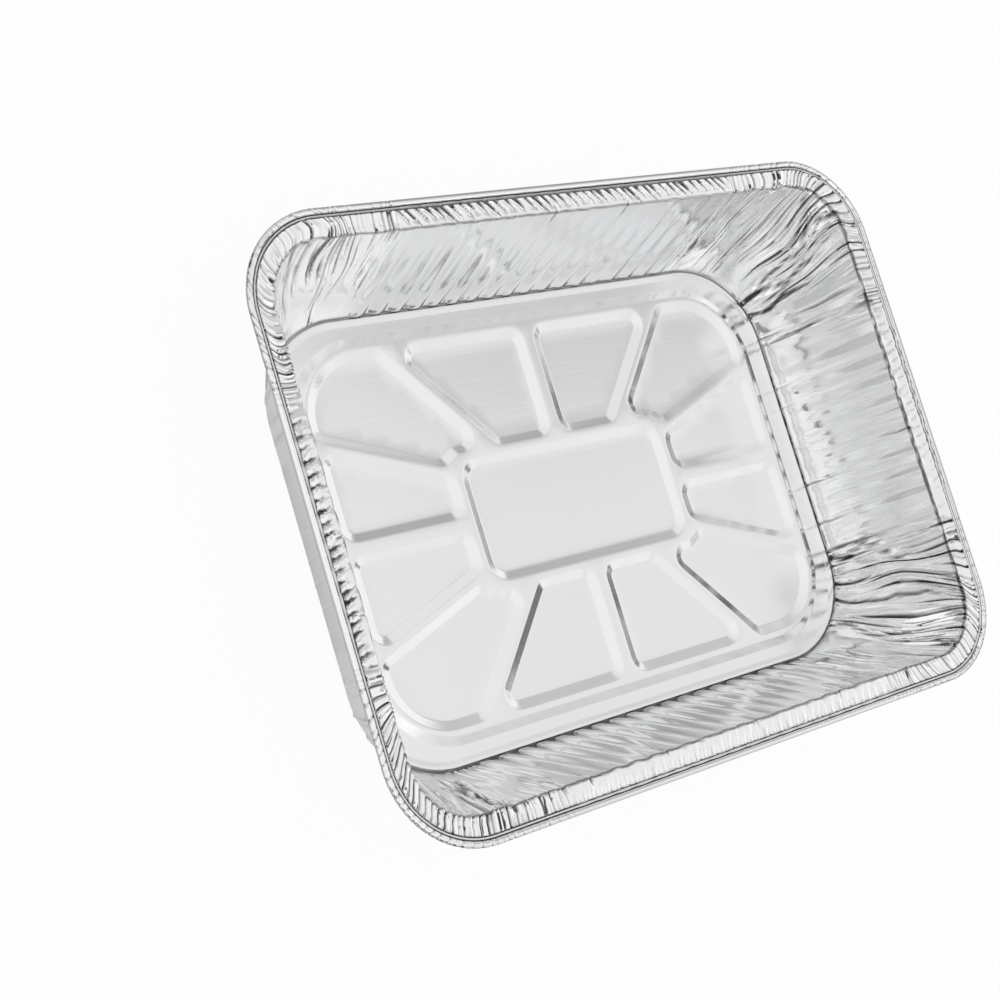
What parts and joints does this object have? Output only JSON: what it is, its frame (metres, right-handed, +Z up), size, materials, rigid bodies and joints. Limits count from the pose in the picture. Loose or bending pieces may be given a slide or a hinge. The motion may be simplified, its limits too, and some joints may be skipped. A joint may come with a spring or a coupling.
{
  "type": "foil roasting pan",
  "caption": "Rectangular pressed foil roasting pan with a ribbed base, leaning fluted walls, gathered corners and a crinkled flange with a rolled edge.",
  "frame": {"origin": "centre of the base's underside, on the table", "axes": "+X along the pan's length, +Y along its width, +Z up out of its mouth"},
  "size_m": [0.324, 0.245, 0.061],
  "materials": {
    "foil": "bright pressed foil"
  },
  "bodies": {
    "root": {"pan": "foil"}
  },
  "joints": []
}
